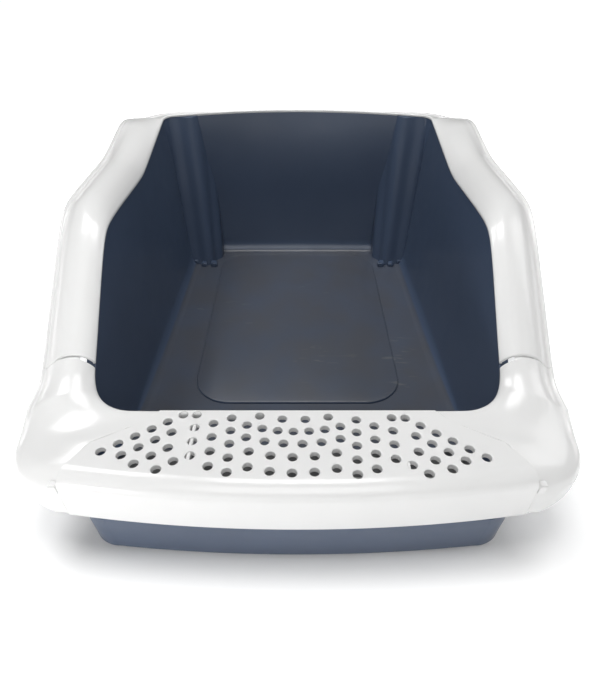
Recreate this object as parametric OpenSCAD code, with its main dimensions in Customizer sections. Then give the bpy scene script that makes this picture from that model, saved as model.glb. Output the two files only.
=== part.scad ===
// Open-topped cat litter box: a deep tub under a two-piece splash-guard hood
// with a perforated step pedal that flips up on a hinge at its rear edge.
// Millimetres. X runs across, the entrance faces -Y, Z is up. The origin is
// on the floor under the middle of the box.

/* [Overall] */
// Half of the width across the hood's rim
rim_half_w = 215; // [200:1:230]
// How far the front and the rear of the hood stand from the origin
half_length = 272.5; // [260:0.5:285]
// Thickness of the hood's plastic
wall = 2.6; // [2:0.1:3]
// Gap between pieces that lie close to each other
gap = 0.4; // [0.3:0.05:0.6]

/* [Opening] */
// Half of the width of the opening
open_half_w = 168; // [160:1:175]
// Front edge of the opening, along Y
open_front_y = -195.5; // [-200:0.5:-190]
// Rear edge of the opening at its corners, along Y
open_rear_y = 210; // [200:1:215]
// How much further back the opening reaches at its middle
open_rear_bow = 18; // [0:1:22]
// Radius of the opening's front corners
open_front_r = 37; // [30:1:45]
// Radius of the opening's rear corners
open_rear_r = 12; // [8:1:20]

/* [Side profile] */
// Height of the opening's edge over the step
low_z = 84.5; // [80:0.5:90]
// Height of the opening's edge along the sides
side_z = 181; // [178:0.5:184]
// Rise of the edge from the sides to the rear
tail_rise = 27; // [25:0.5:28]
// How far the hood's outer edge falls around the rear
rear_drop = 22; // [20:0.5:23]
// Height of the crest above the hood's two edges
crest_h = 10; // [6:0.5:12]

/* [Seams] */
// Where the rear guard butts against the front collar, along Y
guard_seam_y = -155; // [-158:0.5:-150]
// Half of the width of the pedal at the opening
pedal_half_w = 109; // [106:0.5:112]
// Half of the width of the pedal's front skirt
skirt_half_w = 170; // [168:0.5:172]

/* [Pedal] */
// Height of the pedal's tread
tread_z = 85; // [84:0.5:86]
// Thickness of the pedal's tread
tread_t = 4.6; // [3:0.1:5]
// Height of the lower edge of the pedal's skirt
skirt_z = 41; // [38:1:46]
// How much the front bows out over the skirt's half width
front_bow = 12.5; // [8:0.5:15]
// Radius of the litter holes
hole_r = 3.6; // [3:0.1:4]
// Radius of the rounded front edge
nose_r = 13; // [10:1:15]

/* [Hinge] */
// Hinge axis along Y
hinge_y = -196.5; // [-197:0.1:-196.3]
// Hinge axis height
hinge_z = 80.8; // [80.4:0.1:80.9]
// Radius of the hinge pins
pin_r = 1.4; // [1.2:0.1:1.5]
// Radial play of the pins in the pedal's barrels
pin_play = 0.06; // [0.03:0.01:0.09]

/* [Tub] */
// Thickness of the tub's plastic
tub_wall = 2.6; // [2:0.1:3]
// Half of the width of the floor inside
floor_half_w = 147; // [140:1:150]
// Height of the floor inside
floor_z = 4.6; // [4:0.2:6]
// Height of the ledge under the pedal
ledge_z = 56; // [50:1:58]
// Height of the tub's rim in front of the ledge
front_rim_z = 63; // [60:1:66]
// Width of the raised pad on the floor
pad_w = 216; // [200:1:218]
// Length of the raised pad
pad_l = 307; // [280:1:307]
// Radius of the pillars in the rear corners
pillar_r = 38; // [34:1:40]

/* [Feet] */
// Radius of the anti-slip feet
foot_r = 9; // [8:0.5:11]
// How far the feet hold the tub off the floor
foot_gap = 1.2; // [1:0.1:1.5]

/* [Hidden] */
$fn = 64;

white = [0.94, 0.94, 0.94];
slate = [0.29, 0.35, 0.44];
foot_grey = [0.25, 0.26, 0.28];

// Edge heights: the steep rise behind the step and the long rise to the rear
inner_rise = [-173, -66];
outer_rise = [-166, -35];
rise_round = [10, 16];
// The long shallow sag along the sides, inner and outer, before the tail rises
inner_sag = 7.5;
outer_sag = 1;
outer_lift = 5;
sag_start = [-60, -20];
tail_start = [72, 94];
tail_end = 218;
tail_round = [14, 12];
// How much less the outer edge rises, and where it starts to fall to the rear
outer_less = 4;
fall_start = 165;
fall_run = 85;

// Frame corners
outer_rear_r = 62;
corner_c = [172, -223];
corner_rx = rim_half_w - corner_c[0];
corner_ry = 36;
rim_dip = 43;
bow_r = (pow(skirt_half_w, 2) + pow(front_bow, 2)) / (2 * front_bow);
bow_c = bow_r - half_length;

// ---------------------------------------------------------------- curves

function lerp(a, b, t) = a + (b - a) * t;
function clamp01(t) = min(1, max(0, t));
function ease(t) = let (c = clamp01(t)) c * c * (3 - 2 * c);

// A ramp of slope 1 between two places, with rounded ends
function soft(t, r) = (t + sqrt(t * t + r * r)) / 2;
function ramp(y, span, r0, r1) =
    (soft(y - span[0], r0) - soft(y - span[1], r1)) / (span[1] - span[0]);

function edge_z(y, side, rise, sag, start, turn, tail) =
    low_z + (side - low_z) * ramp(y, rise, rise_round[0], rise_round[1])
    - sag * ramp(y, [start, turn], tail_round[1], tail_round[0])
    + tail * ramp(y, [turn, tail_end], tail_round[0], tail_round[1]);
function inner_z(y) =
    edge_z(y, side_z, inner_rise, inner_sag, sag_start[0], tail_start[0], tail_rise);
function outer_z(y) =
    edge_z(y, side_z + outer_lift, outer_rise, outer_sag, sag_start[1], tail_start[1],
           tail_rise - outer_less) - rear_drop * ease((y - fall_start) / fall_run);

function arc(c, rx, ry, a0, a1, n) =
    [for (i = [0:n]) let (a = lerp(a0, a1, i / n))
        [c[0] + rx * cos(a), c[1] + ry * sin(a)]];
function line(p, q, n) = [for (i = [0:n]) lerp(p, q, i / n)];
function bowed(p, q, bow, n) =
    [for (i = [0:n]) lerp(p, q, i / n) + [0, bow * sin(90 * i / n)]];

function front_y(x, y0) = y0 + x * x / (2 * bow_r);

// Joins paths whose ends meet
function chain(paths) =
    [for (k = [0:len(paths) - 1], i = [k == 0 ? 0 : 1:len(paths[k]) - 1]) paths[k][i]];
function at(p, z) = [p[0], p[1], z];
function mirror_x(p) = concat([-p[0]], [for (i = [1:len(p) - 1]) p[i]]);
function reversed(v) = [for (i = [len(v) - 1:-1:0]) v[i]];

// Seam between the pedal and the collar, from the opening to the skirt. It
// bows towards the collar: [share of its length, bow]
seam_ends = [[pedal_half_w, open_front_y], [skirt_half_w, front_y(skirt_half_w, -half_length)]];
seam_bow = [[0, 0], [0.13, -1.6], [0.34, 3], [0.62, 11], [0.925, 3.8], [1, 0]];
function across(d) = [-d[1], d[0]];
function seam_point(u) = let (d = seam_ends[1] - seam_ends[0])
    seam_ends[0] + d * u + across(d) / norm(d) * lookup(u, seam_bow);

// ------------------------------------------------------- hood cross-section

// [share of the width, share of the crest height, drop below the edge line]
rail = [[0, 0, -wall], [0, 0, -1], [0.03, 0.12, 0], [0.10, 0.45, 0], [0.22, 0.82, 0],
        [0.36, 1, 0], [0.50, 1, 0], [0.64, 0.80, 0], [0.76, 0.42, 0], [0.86, 0, 0.4],
        [0.92, 0, -1], [0.955, 0, 0], [0.985, 0, -0.8], [1, 0, -2.6], [1, 0, -9]];
// [share of the width, share of the height above the skirt's lower edge]
front = [[0, 0.94], [0, 0.98], [0.02, 1], [0.13, 1], [0.34, 1],
         [0.48, 1], [0.62, 0.99], [0.71, 0.965], [0.80, 0.93], [0.87, 0.88],
         [0.925, 0.78], [0.97, 0.64], [0.99, 0.52], [1, 0.36], [1, 0]];

// Height of the rail's surface at one of its points
function rail_z(k, zi, zo, crest) =
    lerp(zi, zo, rail[k][0]) + crest * rail[k][1] + rail[k][2];

// The visible line of one section, from the opening out to the rim:
// [distance from the opening, height]
function skin(s) = let (w = norm(s[1] - s[0]))
    [for (k = [0:len(rail) - 1])
        [w * lerp(rail[k][0], front[k][0], s[5]),
         lerp(rail_z(k, s[2], s[3], s[4]),
              s[6] + (tread_z - s[6]) * front[k][1], s[5])]];

// The same line moved inwards by d
function inset(line2, d) =
    [for (k = [0:len(line2) - 1])
        let (a = line2[max(k - 1, 0)], b = line2[min(k + 1, len(line2) - 1)],
             t = (b - a) / max(norm(b - a), 0.001))
        k == 0 ? line2[0] + [d, 0]
        : k == len(line2) - 1 ? line2[k] + [-d, 0]
        : line2[k] + [t[1], -t[0]] * d];

// A section as points in space, between two depths below the skin
function ring(s, d0, d1, k0, k1) =
    let (w = norm(s[1] - s[0]), out = (s[1] - s[0]) / w, l = skin(s),
         a = d0 == 0 ? l : inset(l, d0), b = inset(l, d1),
         loop = concat([for (k = [k0:k1]) a[k]], [for (k = [k1:-1:k0]) b[k]]))
    [for (p = loop) at(s[0] + out * p[0]
        + across(out) * s[7] * lookup(p[0] / w, seam_bow), p[1])];

// A closed skin over a row of sections that all have n points
module loft(rings) {
    n = len(rings[0]);
    m = len(rings);
    points = [for (r = rings, p = r) p];
    sides = [for (j = [0:m - 2], i = [0:n - 1])
        let (a = j * n + i, b = j * n + (i + 1) % n)
        each [[a, b, a + n], [b, b + n, a + n]]];
    caps = [for (i = [0:n / 2 - 2])
        each [[i, n - 1 - i, i + 1], [i + 1, n - 1 - i, n - 2 - i]]];
    end = (m - 1) * n;
    ends = concat(caps, [for (f = caps) [f[2] + end, f[1] + end, f[0] + end]]);
    polyhedron(points, concat(sides, ends));
}

// ---------------------------------------------------------- hood stations
// A station is [opening point, rim point, opening height, rim height,
// crest height, share of the front section, skirt height, share of the bow].

side_steps = concat([for (y = [-155:12:-11]) y], [for (y = [10:24:178]) y], [198]);
guard_inner = chain([[for (y = side_steps) [open_half_w, y]],
    arc([open_half_w - open_rear_r, open_rear_y - open_rear_r],
        open_rear_r, open_rear_r, 0, 90, 6),
    [for (p = bowed([open_half_w - open_rear_r, open_rear_y], [0, open_rear_y],
        open_rear_bow, 8)) p]]);
guard_outer = chain([[for (y = side_steps) [rim_half_w, y + 12.5 * ease((y - 100) / 98)]],
    arc([rim_half_w - outer_rear_r, half_length - outer_rear_r],
        outer_rear_r, outer_rear_r, 0, 90, 6),
    line([rim_half_w - outer_rear_r, half_length], [0, half_length], 8)]);
side_n = len(side_steps);

function guard_station(i) = let (p = guard_inner[i], q = guard_outer[i])
    [p, q, inner_z(p[1]), outer_z(q[1]),
     crest_h * lerp(1, 0.05, ease((i - side_n + 7) / 7)), 0, 0, 0];
guard_stations = [for (i = [0:len(guard_inner) - 1]) guard_station(i)];

collar_n = 16;
arc_inner = open_front_r * PI / 2;
inner_run = [guard_seam_y - open_front_y - open_front_r, arc_inner,
             open_half_w - open_front_r - pedal_half_w];
function along_inner(d) =
    d < -inner_run[0] ? [open_half_w, guard_seam_y - d]
    : d < inner_run[1] ?
        let (a = max(d, 0) / open_front_r * 180 / PI)
        [open_half_w - open_front_r + open_front_r * cos(a),
         open_front_y + open_front_r - open_front_r * sin(a)]
    : [open_half_w - open_front_r - (d - inner_run[1]), open_front_y];
straight_run = guard_seam_y - corner_c[1];
arc_outer = 62;
function along_outer(d) =
    d < straight_run ? [rim_half_w, guard_seam_y - d]
    : d < straight_run + arc_outer ?
        let (a = 90 * (d - straight_run) / arc_outer)
        [corner_c[0] + corner_rx * cos(a), corner_c[1] - corner_ry * sin(a)]
    : let (x = corner_c[0] - (d - straight_run - arc_outer)) [x, front_y(x, -half_length)];
outer_run = straight_run + arc_outer + corner_c[0] - skirt_half_w;
function rim_z(d) = outer_z(guard_seam_y - min(d, straight_run))
    - rim_dip * clamp01((d - 38) / (outer_run - 48));
function collar_station(j) =
    let (f = j / collar_n, d = f * outer_run,
         p = along_inner(f * (arc_inner + inner_run[2])), q = along_outer(d))
    [p, q, inner_z(p[1]), rim_z(d), crest_h * (1 - 0.6 * ease(f)),
     ease((f - 0.12) / 0.88), rim_z(d), ease((f - 0.3) / 0.7)];
collar_stations = [for (j = [0:collar_n]) collar_station(j)];

// -------------------------------------------------------------- rear guard

tab_size = [2.4, 22, 22];
// Where the tabs stand outside the opening, and how far they reach into the hood
tab_in = 12;
tab_root = 6.6;

module guard_tab(y) {
    top = lerp(inner_z(y), outer_z(y), tab_in / (rim_half_w - open_half_w)) + tab_root;
    translate([open_half_w + tab_in, y - tab_size[1] / 2, top - tab_size[2]])
        cube(tab_size);
}

module rear_guard() {
    half = [for (s = guard_stations) ring(s, 0, wall, 0, len(rail) - 1)];
    other = [for (r = half) [for (p = r) mirror_x(p)]];
    color(white) {
        loft(reversed(concat(half, [for (i = [len(other) - 2:-1:0]) other[i]])));
        for (side = [0, 1]) mirror([side, 0, 0]) for (y = [-20, 50]) guard_tab(y);
    }
}

// ------------------------------------------------------------ front collar

rail_size = [2 * (skirt_half_w + 4), 7, 9];
rail_y = -256.5;
gusset = [6.5, 8, 9];
// Width of the hinge ears, and their reach in front of, behind and below the axis
ear_w = 6;
ear_reach = [4.4, 1.9, 3.5];
ear_x = 120;
tongue_steps = [-164, -156.2, -154.6, -144];

function tongue_station(y) =
    [[open_half_w, y], [rim_half_w, y], inner_z(y), outer_z(y), crest_h, 0, 0, 0];

module seam_tongue() {
    loft(reversed([for (y = tongue_steps)
        let (under = y < guard_seam_y ? wall - 0.5 : wall + gap)
        ring(tongue_station(y), under, wall + gap + 2, 4, 8)]));
}

// Ear under each corner that holds a hinge pin
module hinge_ear() {
    translate([ear_x, hinge_y, hinge_z]) difference() {
        translate([0, -ear_reach[0], -ear_reach[2]])
            cube([ear_w, ear_reach[0] + ear_reach[1], tread_z - 1.6 - hinge_z + ear_reach[2]]);
        translate([-1, 0, 0]) rotate([0, 90, 0]) cylinder(r = pin_r, h = ear_w + 2);
    }
}

module front_collar() {
    half = [for (s = collar_stations) ring(s, 0, wall, 0, len(rail) - 1)];
    color(white) {
        for (side = [0, 1]) mirror([side, 0, 0]) {
            loft(half);
            seam_tongue();
            hinge_ear();
            translate([skirt_half_w + 1.5, rail_y - 2, front_rim_z + 1]) cube(gusset);
        }
        front_rail();
    }
}

// Bar behind the skirt that ties the two corners of the collar together
module front_rail() {
    translate([-rail_size[0] / 2, rail_y, front_rim_z + 1]) cube(rail_size);
}

// ------------------------------------------------------------------- pedal

seam_gap = 0.5;
// Barrel length and radius, and how far it stays inside the pedal's corner
barrel = [7.3, 3];
barrel_x = pedal_half_w - barrel[0] - 1.2;
// Clearance between the swinging edge of the pedal and the collar
swing_gap = 0.2;

// The pedal's cross-section, turned about the centre of the front's bow
module pedal_profile(inset) {
    top = tread_z - (inset > 0 ? tread_t : 0);
    edge = bow_r - inset;
    rise = top - tread_z + nose_r;
    polygon(concat(
        [[bow_r - 90, top]],
        arc([bow_r - nose_r, tread_z - nose_r], nose_r - inset, rise, 90, 0, 10),
        [[edge, skirt_z - inset * 2], [bow_r - 90, skirt_z - inset * 2]]));
}

module pedal_block(inset) {
    translate([0, bow_c, 0]) rotate([0, 0, -90 - 10])
        rotate_extrude(angle = 20, $fn = 1440) pedal_profile(inset);
}

module pedal_plan() {
    edge = [for (b = seam_bow) seam_point(b[0]) - [seam_gap, 0]];
    front_y = -half_length - 5;
    last = edge[len(edge) - 1];
    polygon(concat(edge, [[last[0], front_y], [-last[0], front_y]],
        reversed([for (p = edge) mirror_x(p)])));
}

// Litter holes: bowed rows in the middle, straight files beside them, then
// fans whose ends follow the diagonal seam. [holes, pitch, y in the middle]
middle_rows = [[4, 17.8, -205], [7, 11.9, -217.1], [6, 14.1, -229.1], [5, 16, -241.4], [5, 15.8, -255.2]];
row_bow = 0.0045;
// [x, first y, holes, pitch]
files = [[48.3, -204.3, 5, 12.8], [61.6, -210.3, 4, 13.4], [76, -201.5, 4, 13.3]];
file_slant = 0.6;
fan_start = [86.4, -201.8];
fan_angle = -34.9;
fan_pitch = 13;
fan_counts = [4, 4, 3, 2, 1, 1];
// The whole pattern sits a little off the middle and turned
pattern_c = [0, -228];
pattern_shift = [-3.3, 0];
pattern_turn = -1.15;

function middle_holes() = [for (r = middle_rows, i = [0:r[0] - 1])
    let (x = (i - (r[0] - 1) / 2) * r[1]) [x, r[2] + row_bow * x * x]];
function file_holes() = [for (f = files, i = [0:f[2] - 1])
    [f[0] - i * file_slant, f[1] - i * f[3]]];
function fan_holes() = [for (c = [0:len(fan_counts) - 1], i = [0:fan_counts[c] - 1])
    fan_start + fan_pitch * c * [cos(fan_angle), sin(fan_angle)]
    + [8.6 * i - 3 * i * i, 1.45 * i * i - 19.3 * i]];
function both_sides(h) = concat(h, [for (p = h) mirror_x(p)]);
function turned(v, a) = [v[0] * cos(a) - v[1] * sin(a), v[0] * sin(a) + v[1] * cos(a)];
holes = [for (p = concat(middle_holes(), both_sides(concat(file_holes(), fan_holes()))))
    pattern_c + pattern_shift + turned(p - pattern_c, pattern_turn)];

module pedal() {
    color(white) difference() {
        union() {
            intersection() {
                difference() {
                    pedal_block(0);
                    difference() {
                        pedal_block(wall);
                        rib_walls();
                    }
                }
                linear_extrude(tread_z + 1) pedal_plan();
            }
            hinge_barrels();
        }
        for (h = holes) translate([h[0], h[1], tread_z - tread_t - 12])
            cylinder(r = hole_r, h = tread_t + 14);
        for (side = [0, 1]) mirror([side, 0, 0])
            translate([barrel_x - 0.5, hinge_y, hinge_z]) rotate([0, 90, 0]) {
                cylinder(r = pin_r + pin_play, h = barrel[0] + 10);
                swing_cone();
            }
    }
}

// Undercut of the pedal's slanted edge: a solid of revolution about the hinge
// axis through the seam's top line, so that the edge swings clear
module swing_cone() {
    start = barrel_x - 0.5;
    profile = [for (b = seam_bow) let (p = seam_point(b[0]),
            reach = max(hinge_y - p[1], open_front_y - hinge_y))
        [norm([reach + swing_gap, tread_z - hinge_z]), p[0] - seam_gap - start]];
    last = profile[len(profile) - 1];
    rotate_extrude() polygon(concat([[0, profile[0][1]]], profile,
        [[last[0], last[1] + 2], [0, last[1] + 2]]));
}

// Lip under the rear edge and two stiffening ribs under the creases
module rib_walls() {
    rib_z = tread_z - 10.5;
    translate([-pedal_half_w, open_front_y - wall, tread_z - 9])
        cube([2 * pedal_half_w, wall, 9]);
    for (side = [-1, 1]) translate([side * 79 - 1.2, -262, rib_z]) cube([2.4, 55, 9.5]);
}

module hinge_barrels() {
    for (side = [0, 1]) mirror([side, 0, 0])
        translate([barrel_x, hinge_y, hinge_z]) rotate([0, 90, 0])
            cylinder(r = barrel[1], h = barrel[0]);
}

// -------------------------------------------------------------- hinge pins

module hinge_pin() {
    color("silver") translate([barrel_x, hinge_y, hinge_z]) rotate([0, 90, 0])
        cylinder(r = pin_r, h = ear_x + ear_w - barrel_x);
}
module hinge_pin_right() { hinge_pin(); }
module hinge_pin_left() { mirror([1, 0, 0]) hinge_pin(); }

// --------------------------------------------------------------------- tub

rim_gap = 0.4;
flange_w = 8;
trough_c = [113.5, -204];
trough_r = 55;
// How deep the pillars are rooted in the walls and the floor
root_depth = 1;
side_ys = concat([-190, -176], side_steps);

// Rim, floor and base outlines, each from the middle of the front to the
// middle of the rear, with the same number of points
rim_half = chain([
    [for (i = [0:4]) let (x = trough_c[0] * i / 4) [x, front_y(x, trough_c[1] - trough_r - 5.5)]],
    arc(trough_c, trough_r, trough_r, -90, 0, 8),
    concat([trough_c + [trough_r, 0]],
        [for (y = side_ys) [trough_c[0] + trough_r, y]]),
    arc([trough_c[0] + trough_r - open_rear_r, open_rear_y - open_rear_r],
        open_rear_r, open_rear_r, 0, 90, 4),
    bowed([trough_c[0] + trough_r - open_rear_r, open_rear_y], [0, open_rear_y],
        open_rear_bow, 6)]);
side_count = len(side_ys);

function box_half(half_w, rear_half_w, y_front, y_rear, r_front, r_rear, bow) = chain([
    [for (i = [0:4]) let (x = (half_w - r_front) * i / 4)
        [x, y_front + bow * pow(i / 4, 2)]],
    arc([half_w - r_front, y_front + bow + r_front], r_front, r_front, -90, 0, 8),
    line([half_w, y_front + bow + r_front], [rear_half_w, y_rear - r_rear], side_count),
    arc([rear_half_w - r_rear, y_rear - r_rear], r_rear, r_rear, 0, 90, 4),
    bowed([rear_half_w - r_rear, y_rear], [0, y_rear], 1.5, 6)]);
floor_half = box_half(floor_half_w + 13, floor_half_w + 4, -199, 216, open_front_r, 20, 3);
base_half = box_half(floor_half_w + 17, floor_half_w + 8, -half_length + 1.6, 220, 24, 30, 7.5);

// How much of the front's stepped paths a place on the outline follows,
// inside and outside
function frontness(i) = 1 - ease((i - 5) / 7);
function shoulder(i) = 1 - ease((i - 12) / 4);
// The rim sinks away from the hood behind its corners and slopes down under
// the hood's rear edge
function corner_drop(y) = 1.4 * (1 - ease((y + 150) / 30));
function flange_fall(y) = 3.6 * ease((y - 180) / 40);
function rim_height(p) = lerp(front_rim_z, inner_z(p[1]) - wall - rim_gap - corner_drop(p[1]),
    ease((p[1] + 215) / 40));

// Paths from floor to rim: [share across, share up, distance inwards]
side_path = [[0, 0, 13], [0, 0.012, 6.5], [0, 0.055, 1.2], [0.1, 0.13, 0], [0.55, 0.56, 0], [1, 1, 0]];
step_path = [[-0.1, 0, 0], [0, 0.03, 0], [0.1, 0.7, 0], [0.2, 0.8, 0], [0.9, 0.88, 0], [1, 1, 0]];
// Paths from base to rim outside; the front has a shoulder under the skirt
wall_path = [[0, 0.06], [0.22, 0.24], [0.25, 0.27], [0.6, 0.6], [1, 1]];
shoulder_path = [[0, 0.12], [0, 0.64], [0.95, 0.67], [1, 0.8], [1, 1]];

function outward(h, i) =
    let (a = h[max(i - 1, 0)], b = h[min(i + 1, len(h) - 1)], t = (b - a) / norm(b - a))
    i == 0 ? [0, -1] : i == len(h) - 1 ? [0, 1] : [t[1], -t[0]];
function whole(half) = concat(half, [for (i = [len(half) - 2:-1:1]) mirror_x(half[i])]);

function cavity_ring(k, grow) = whole([for (i = [0:len(rim_half) - 1])
    let (f = frontness(i), path = lerp(side_path[k], step_path[k], f),
         top = rim_height(rim_half[i]))
    at(lerp(floor_half[i], rim_half[i], path[0]) + outward(rim_half, i) * grow
       - outward(floor_half, i) * path[2],
       lerp(floor_z - grow, top, path[1]))]);
function rim_ring(out_side, out_front, drop) = whole([for (i = [0:len(rim_half) - 1])
    at(rim_half[i] + outward(rim_half, i) * lerp(out_side, out_front, frontness(i)),
       rim_height(rim_half[i]) - drop - flange_fall(rim_half[i][1]))]);
function wall_ring(k) = whole([for (i = [0:len(rim_half) - 1])
    let (path = lerp(wall_path[k], shoulder_path[k], shoulder(i)))
    at(lerp(base_half[i], rim_half[i] + outward(rim_half, i) * tub_wall, path[0]),
       lerp(foot_gap, rim_height(rim_half[i]) - tub_wall - 1, path[1]))]);
function base_ring(inset, z) = whole([for (i = [0:len(base_half) - 1])
    at(base_half[i] - outward(base_half, i) * inset, z)]);

// Closed symmetric rings stacked upwards, capped at both ends with strips
// that run straight across
module stack(rings) {
    n = len(rings[0]);
    m = len(rings);
    sides = [for (j = [0:m - 2], i = [0:n - 1])
        let (a = j * n + i, b = j * n + (i + 1) % n)
        each [[a, a + n, b], [b, a + n, b + n]]];
    cap = [for (i = [0:n / 2 - 1])
        let (left = (n - i) % n)
        each concat(i == 0 ? [] : [[i, i + 1, left]],
                    i == n / 2 - 1 ? [] : [[i + 1, n - i - 1, left]])];
    end = (m - 1) * n;
    top = [for (f = cap) [f[2] + end, f[1] + end, f[0] + end]];
    polyhedron([for (r = rings, p = r) p], concat(sides, cap, top));
}

outer_rings = [base_ring(3, foot_gap), base_ring(0.9, foot_gap + 0.6), base_ring(0.1, foot_gap + 2),
               wall_ring(0), wall_ring(1), wall_ring(2), wall_ring(3), wall_ring(4),
               rim_ring(flange_w, tub_wall, tub_wall), rim_ring(flange_w, tub_wall, 0)];
cavity_rings = [for (k = [0:5]) cavity_ring(k, 0)];
root_rings = [for (k = [0:5]) cavity_ring(k, root_depth)];

pillar_c = [floor_half_w - 7, 196];
pillar_foot_r = pillar_r - 9;
pillar_tilt = 3.3;
pillar_lean = 14;
pillar_span = [-10, 201];
pillar_hollow = [-12, 188];
pad_h = 2.4;
pad_y = -109.5;
pad_r = 38;
recess_y = [-262, -211];
recess_half_w = 130;
foot_h = 3;
foot_places = [[115, -165], [92, 185]];

// A pillar leans back into each rear corner, rounded towards the room
module pillar(thin, span) {
    h = span[1] - span[0];
    translate([pillar_c[0], pillar_c[1], 0]) rotate([-pillar_lean, pillar_tilt, 0])
        translate([0, 0, span[0]]) {
            cylinder(r1 = pillar_foot_r - thin, r2 = pillar_r - thin, h = h);
            translate([thin - pillar_foot_r, 0, 0]) cube([2 * pillar_r, 60, h]);
        }
}

module pillars(thin, span) {
    for (side = [0, 1]) mirror([side, 0, 0]) pillar(thin, span);
}

module slab(w, l, r) {
    for (sx = [-1, 1], sy = [0, 1]) translate([sx * (w / 2 - r), r + sy * (l - 2 * r), 0])
        cylinder(r = r, h = pad_h + 0.6);
    translate([-w / 2, r, 0]) cube([w, l - 2 * r, pad_h + 0.6]);
    translate([-w / 2 + r, 0, 0]) cube([w - 2 * r, l, pad_h + 0.6]);
}

// Hollow under the ledge, open below
module ledge_recess() {
    translate([0, 0, -1]) linear_extrude(ledge_z - 10)
        polygon([[-recess_half_w, recess_y[1]], [-recess_half_w, recess_y[0] + 14],
                 [-recess_half_w + 14, recess_y[0]], [recess_half_w - 14, recess_y[0]],
                 [recess_half_w, recess_y[0] + 14], [recess_half_w, recess_y[1]]]);
}

module feet_at() {
    for (p = foot_places, side = [-1, 1]) translate([side * p[0], p[1], 0]) children();
}

module tub() {
    color(slate) difference() {
        union() {
            stack(concat(outer_rings, reversed(cavity_rings)));
            intersection() {
                stack(root_rings);
                pillars(0, pillar_span);
            }
            translate([0, pad_y, floor_z - 0.6]) slab(pad_w, pad_l, pad_r);
        }
        pillars(tub_wall, pillar_hollow);
        ledge_recess();
        feet_at() cylinder(r = foot_r, h = foot_h);
    }
}

// -------------------------------------------------------------------- feet

module foot(side, place) {
    p = foot_places[place];
    color(foot_grey) translate([side * p[0], p[1], 0]) {
        cylinder(r = foot_r - 0.8, h = 0.6);
        translate([0, 0, 0.6]) cylinder(r = foot_r, h = foot_h - 0.6);
    }
}
module foot_front_left() { foot(-1, 0); }
module foot_front_right() { foot(1, 0); }
module foot_rear_left() { foot(-1, 1); }
module foot_rear_right() { foot(1, 1); }

tub();
front_collar();
rear_guard();
pedal();
hinge_pin_left();
hinge_pin_right();
foot_front_left();
foot_front_right();
foot_rear_left();
foot_rear_right();
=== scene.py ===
"""Open-topped cat litter box: a slate tub, a two-piece white splash-guard hood
and a perforated step pedal that flips up. Shapes are worked out in millimetres
and made in metres, in the frame's own axes."""

import math
import bpy
import bmesh
import numpy as np
from mathutils import Matrix, Vector


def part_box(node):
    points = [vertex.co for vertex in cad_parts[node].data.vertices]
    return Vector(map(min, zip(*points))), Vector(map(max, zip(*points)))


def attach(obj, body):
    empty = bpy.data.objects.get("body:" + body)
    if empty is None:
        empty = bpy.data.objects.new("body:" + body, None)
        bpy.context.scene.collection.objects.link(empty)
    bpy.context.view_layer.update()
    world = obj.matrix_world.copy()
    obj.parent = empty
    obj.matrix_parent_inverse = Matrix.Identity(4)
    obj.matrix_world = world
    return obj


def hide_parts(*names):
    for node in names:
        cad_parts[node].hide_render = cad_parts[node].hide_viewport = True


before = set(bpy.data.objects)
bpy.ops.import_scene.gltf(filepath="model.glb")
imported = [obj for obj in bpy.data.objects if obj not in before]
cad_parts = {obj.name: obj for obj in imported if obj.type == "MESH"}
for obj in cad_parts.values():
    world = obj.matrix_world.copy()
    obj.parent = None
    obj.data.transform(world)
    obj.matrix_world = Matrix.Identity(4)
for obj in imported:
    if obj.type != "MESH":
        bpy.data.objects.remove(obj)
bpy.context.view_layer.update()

MM = 0.001

# ------------------------------------------------------------------ sizes, mm
RIM_HALF_W = 1000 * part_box("rear_guard")[1].x
HALF_LENGTH = 1000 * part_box("rear_guard")[1].y
WALL = 2.6
GAP = 0.4
OPEN_HALF_W = 168.0
OPEN_FRONT_Y = -195.5
OPEN_REAR_Y = 210.0
OPEN_REAR_BOW = 18.0
OPEN_FRONT_R = 37.0
OPEN_REAR_R = 12.0
LOW_Z = 84.5
SIDE_Z = 181.0
TAIL_RISE = 27.0
REAR_DROP = 22.0
CREST_H = 10.0
GUARD_SEAM_Y = -155.0
PEDAL_HALF_W = 109.0
SKIRT_HALF_W = 170.0
TREAD_Z = 1000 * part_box("pedal")[1].z
SKIRT_Z = 1000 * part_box("pedal")[0].z
FRONT_BOW = 12.5
TREAD_T = 4.6
HOLE_R = 3.6
NOSE_R = 13.0
HINGE_Y = -196.5
HINGE_Z = 80.8
PIN_R = 1.4
TUB_WALL = 2.6
FLOOR_HALF_W = 147.0
FLOOR_Z = 4.6
LEDGE_Z = 56.0
FRONT_RIM_Z = 63.0
PAD_W = 216.0
PAD_L = 307.0
PAD_Y = -109.5
PAD_R = 38.0
PAD_H = 2.4
PILLAR_R = 38.0
FOOT_R = 9.0
FOOT_GAP = 1.2
FOOT_H = 3.0

INNER_RISE = (-173.0, -66.0)
OUTER_RISE = (-166.0, -35.0)
INNER_SAG = 7.5
OUTER_SAG = 1.0
OUTER_LIFT = 5.0
OUTER_LESS = 4.0
FALL_START, FALL_RUN = 165.0, 85.0
SAG_START = (-60.0, -20.0)
TAIL_START = (72.0, 94.0)
TAIL_END = 218.0
RISE_ROUND = (10.0, 16.0)
TAIL_ROUND = (14.0, 12.0)
OUTER_REAR_R = 62.0
CORNER_C = (172.0, -223.0)
CORNER_RX = RIM_HALF_W - CORNER_C[0]
CORNER_RY = 36.0
RIM_DIP = 43.0
BOW_R = (SKIRT_HALF_W**2 + FRONT_BOW**2) / (2 * FRONT_BOW)
BOW_C = BOW_R - HALF_LENGTH


# --------------------------------------------------------------------- curves
def lerp(a, b, t):
    return a + (b - a) * t


def clamp01(t):
    return np.clip(t, 0.0, 1.0)


def ease(t):
    c = clamp01(t)
    return c * c * (3 - 2 * c)


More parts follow.
